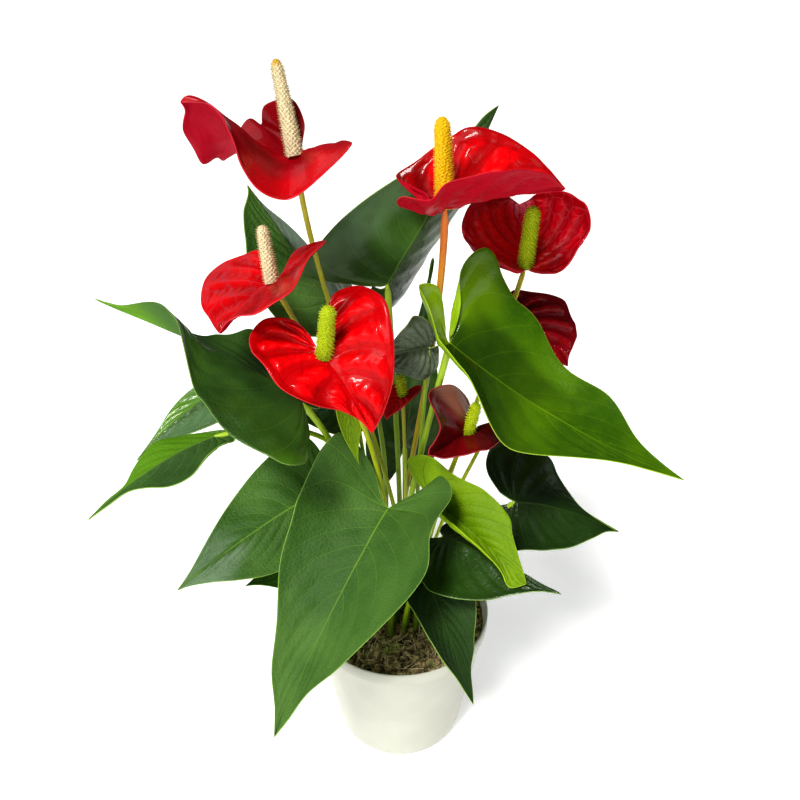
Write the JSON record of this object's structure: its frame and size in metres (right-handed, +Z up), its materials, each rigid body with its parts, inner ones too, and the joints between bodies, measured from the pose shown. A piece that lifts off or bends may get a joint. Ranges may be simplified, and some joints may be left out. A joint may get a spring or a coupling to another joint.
{
  "type": "potted anthurium",
  "caption": "Potted flowering houseplant: a clump of glossy heart-shaped leaves with red spathes and upright finger-like spadices, growing from peat in a round tapered plastic pot.",
  "frame": {"origin": "middle of the pot's underside, on the surface that the pot stands on", "axes": "+Z up along the pot's axis; -Y is the side that the plant shows to the viewer; +X is to that viewer's right"},
  "size_m": [0.3312, 0.2251, 0.4544],
  "materials": {
    "pot_plastic": "satin moulded plastic",
    "peat": "rough moist peat with moss",
    "leaf_dark": "waxy gloss",
    "leaf_mid": "waxy gloss",
    "leaf_bright": "high waxy gloss",
    "leaf_young": "waxy gloss",
    "spathe_red": "lacquer-like gloss",
    "spathe_deep_red": "lacquer-like gloss",
    "spathe_maroon": "lacquer-like gloss",
    "spadix_cream": "matt bumpy",
    "spadix_yellow": "matt bumpy",
    "spadix_green": "matt bumpy",
    "stalk_green": "satin",
    "stalk_orange": "satin"
  },
  "bodies": {
    "root": {"pot": "pot_plastic", "soil": "peat", "leaf_right_bright": "leaf_bright", "leaf_front_large": "leaf_mid", "leaf_left_dark": "leaf_dark", "leaf_left_low_tip": "leaf_mid", "leaf_left_back": "leaf_dark", "leaf_left_inner": "leaf_dark", "leaf_left_low": "leaf_mid", "leaf_left_small": "leaf_dark", "leaf_back_left": "leaf_mid", "leaf_back_far": "leaf_dark", "leaf_back_glossy": "leaf_dark", "leaf_centre_crinkled": "leaf_dark", "leaf_front_young": "leaf_young", "leaf_right_low": "leaf_dark", "leaf_right_dark": "leaf_dark", "leaf_front_low": "leaf_mid", "leaf_back_centre": "leaf_dark", "leaf_young_narrow": "leaf_young", "stalk_upper_left": "stalk_green", "spathe_upper_left": "spathe_deep_red", "spadix_upper_left": "spadix_cream", "stalk_middle_left": "stalk_green", "spathe_middle_left": "spathe_red", "spadix_middle_left": "spadix_cream", "stalk_upper_middle": "stalk_orange", "spathe_upper_middle": "spathe_red", "spadix_upper_middle": "spadix_yellow", "stalk_front": "stalk_green", "spathe_front": "spathe_red", "spadix_front": "spadix_green", "stalk_right_cupped": "stalk_green", "spathe_right_cupped": "spathe_deep_red", "spadix_right_cupped": "spadix_green", "stalk_right_low": "stalk_green", "spathe_right_low": "spathe_maroon", "spadix_right_low": "spadix_green", "stalk_centre_small": "stalk_green", "spathe_centre_small": "spathe_red", "spadix_centre_small": "spadix_green", "stalk_right_dark": "stalk_green", "spathe_right_dark": "spathe_maroon", "spadix_right_dark": "spadix_green"}
  },
  "joints": []
}
